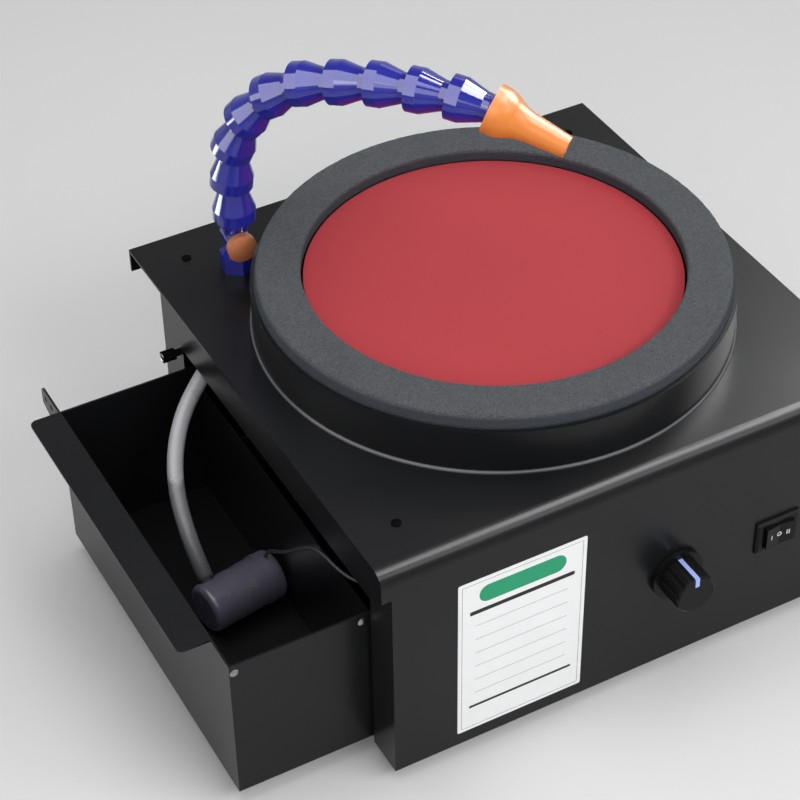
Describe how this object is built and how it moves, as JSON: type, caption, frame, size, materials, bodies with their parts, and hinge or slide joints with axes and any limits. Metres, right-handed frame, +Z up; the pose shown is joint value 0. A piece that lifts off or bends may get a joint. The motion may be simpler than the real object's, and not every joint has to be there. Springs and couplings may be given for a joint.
{
  "type": "wet grinding sharpener",
  "caption": "Bench wet sharpener: a turning red abrasive disc in a foam-ringed splash bowl, with a jointed coolant hose, speed knob, switch and pull-out water tank with pump.",
  "frame": {"origin": "on the spindle axis at the bench, in the plane of the feet's undersides", "axes": "+X to the right along the front face, +Y to the back, +Z up along the spindle"},
  "size_m": [0.382, 0.3135, 0.298],
  "materials": {
    "black_paint": "satin",
    "zinc_sheet": "satin",
    "foot_rubber": "matte",
    "black_screw": "satin",
    "bright_screw": "polished",
    "foam": "matte",
    "seal_bead": "gloss",
    "red_abrasive": "matte",
    "turned_aluminium": "satin",
    "shaft_steel": "polished",
    "motor_case": "satin",
    "belt": "matte",
    "black_plastic": "satin",
    "pointer_blue": "gloss",
    "control_metal": "satin",
    "board_green": "satin",
    "hose_blue": "gloss",
    "hose_orange": "gloss",
    "pump_plastic": "satin",
    "clear_hose": "gloss",
    "wire_sheath": "satin"
  },
  "bodies": {
    "case": {"deck_cover": "black_paint", "base_plate": "black_paint", "left_side_panel": "black_paint", "right_side_panel": "black_paint", "back_panel": "black_paint", "rubber_feet": "foot_rubber", "case_screws": "black_screw", "splash_bowl": "black_paint", "bowl_seal": "seal_bead", "housing_screws": "bright_screw", "drain_spout": "black_plastic", "deck_nuts": "black_plastic", "foam_ring": "foam", "bearing_housing": "turned_aluminium", "upper_bearing": "shaft_steel", "lower_bearing": "shaft_steel", "drive_belt": "belt", "motor_body": "motor_case", "motor_bracket": "zinc_sheet", "motor_screws": "bright_screw", "speed_potentiometer": "control_metal", "speed_control_board": "board_green", "board_standoffs": "turned_aluminium", "switch_housing": "black_plastic", "power_inlet": "black_plastic", "valve_body": "hose_blue", "valve_elbow": "black_plastic", "drawer_runners": "zinc_sheet", "water_hose": "clear_hose", "pump_wire": "wire_sheath"},
    "turntable": {"spindle_shaft": "shaft_steel", "platter": "turned_aluminium", "sanding_disc": "red_abrasive", "driven_pulley": "turned_aluminium", "spindle_nut": "bright_screw", "platter_screw": "bright_screw"},
    "motor_rotor": {"motor_shaft": "shaft_steel", "drive_pulley": "turned_aluminium"},
    "drawer": {"drawer_tank": "black_paint", "drawer_arms": "zinc_sheet", "drawer_rivets": "bright_screw", "pump_body": "pump_plastic", "pump_cap": "pump_plastic"},
    "knob": {"potentiometer_shaft": "shaft_steel", "speed_knob": "black_plastic", "knob_pointer": "pointer_blue"},
    "rocker": {"switch_rocker": "black_plastic"},
    "valve_grip": {"valve_handle": "hose_orange"},
    "thumb_lock": {"thumb_screw": "black_screw"},
    "hose_segment_01_body": {"hose_segment_01": "hose_blue"},
    "hose_segment_02_body": {"hose_segment_02": "hose_blue"},
    "hose_segment_03_body": {"hose_segment_03": "hose_blue"},
    "hose_segment_04_body": {"hose_segment_04": "hose_blue"},
    "hose_segment_05_body": {"hose_segment_05": "hose_blue"},
    "hose_segment_06_body": {"hose_segment_06": "hose_blue"},
    "hose_segment_07_body": {"hose_segment_07": "hose_blue"},
    "hose_segment_08_body": {"hose_segment_08": "hose_blue"},
    "hose_segment_09_body": {"hose_segment_09": "hose_blue"},
    "hose_segment_10_body": {"hose_segment_10": "hose_blue"},
    "nozzle": {"hose_nozzle": "hose_orange"}
  },
  "joints": [
    {"name": "platter_spin", "type": "hinge", "parent": "case", "child": "turntable", "pos_m": [0, 0, 0.174], "axis": [0, 0, 1], "continuous": true},
    {"name": "motor_spin", "type": "hinge", "parent": "case", "child": "motor_rotor", "pos_m": [0.088, 0, 0.1115], "axis": [0, 0, 1], "continuous": true},
    {"name": "drawer_slide", "type": "slide", "parent": "case", "child": "drawer", "axis": [1, 0, 0], "range_m": [0, 0.0735], "deforming": ["water_hose", "pump_wire"]},
    {"name": "speed_knob_turn", "type": "hinge", "parent": "case", "child": "knob", "pos_m": [0.023, -0.1485, 0.0698], "axis": [0, -1, 0], "range_deg": [-150, 150]},
    {"name": "switch_rock", "type": "hinge", "parent": "case", "child": "rocker", "pos_m": [0.086, -0.1485, 0.0698], "axis": [0, 0, 1], "range_deg": [-10, 10]},
    {"name": "valve_turn", "type": "hinge", "parent": "case", "child": "valve_grip", "pos_m": [-0.101, 0.1025, 0.1675], "axis": [-0.1392, -0.9903, 0], "range_deg": [0, 90]},
    {"name": "thumb_screw_turn", "type": "hinge", "parent": "case", "child": "thumb_lock", "pos_m": [-0.142, 0.0972, 0.1075], "axis": [-1, 0, 0], "range_deg": [-360, 360]},
    {"name": "hose_swivel", "type": "hinge", "parent": "case", "child": "hose_segment_01_body", "pos_m": [-0.101, 0.1025, 0.1855], "axis": [0, 0, 1], "range_deg": [-45, 45]},
    {"name": "hose_bend_01", "type": "hinge", "parent": "hose_segment_01_body", "child": "hose_segment_02_body", "pos_m": [-0.101, 0.1025, 0.2069], "axis": [0.7716, 0.6361, 0], "range_deg": [-27, 13]},
    {"name": "hose_bend_02", "type": "hinge", "parent": "hose_segment_02_body", "child": "hose_segment_03_body", "pos_m": [-0.09934, 0.10049, 0.22814], "axis": [-0.7716, -0.6361, 0], "range_deg": [-3, 37]},
    {"name": "hose_bend_03", "type": "hinge", "parent": "hose_segment_03_body", "child": "hose_segment_04_body", "pos_m": [-0.0938, 0.09377, 0.24769], "axis": [0.7716, 0.6361, 0], "range_deg": [-37, 3]},
    {"name": "hose_bend_04", "type": "hinge", "parent": "hose_segment_04_body", "child": "hose_segment_05_body", "pos_m": [-0.08487, 0.08294, 0.26384], "axis": [-0.7716, -0.6361, 0], "range_deg": [-3, 37]},
    {"name": "hose_bend_05", "type": "hinge", "parent": "hose_segment_05_body", "child": "hose_segment_06_body", "pos_m": [-0.07333, 0.06893, 0.27518], "axis": [0.7716, 0.6361, 0], "range_deg": [-37, 3]},
    {"name": "hose_bend_06", "type": "hinge", "parent": "hose_segment_06_body", "child": "hose_segment_07_body", "pos_m": [-0.06018, 0.05298, 0.28072], "axis": [-0.7716, -0.6361, 0], "range_deg": [-15, 25]},
    {"name": "hose_bend_07", "type": "hinge", "parent": "hose_segment_07_body", "child": "hose_segment_08_body", "pos_m": [-0.04678, 0.03672, 0.28444], "axis": [0.7716, 0.6361, 0], "range_deg": [-26, 14]},
    {"name": "hose_bend_08", "type": "hinge", "parent": "hose_segment_08_body", "child": "hose_segment_09_body", "pos_m": [-0.0332, 0.02025, 0.28593], "axis": [-0.7716, -0.6361, 0], "range_deg": [-16, 24]},
    {"name": "hose_bend_09", "type": "hinge", "parent": "hose_segment_09_body", "child": "hose_segment_10_body", "pos_m": [-0.01959, 0.00374, 0.28593], "axis": [0.7716, 0.6361, 0], "range_deg": [-27, 13]},
    {"name": "hose_bend_10", "type": "hinge", "parent": "hose_segment_10_body", "child": "nozzle", "pos_m": [-0.00607, -0.01265, 0.28332], "axis": [-0.7716, -0.6361, 0], "range_deg": [-8, 32]}
  ],
  "couplings": [
    {"joint": "motor_spin", "follows": "platter_spin", "ratio": 3}
  ]
}
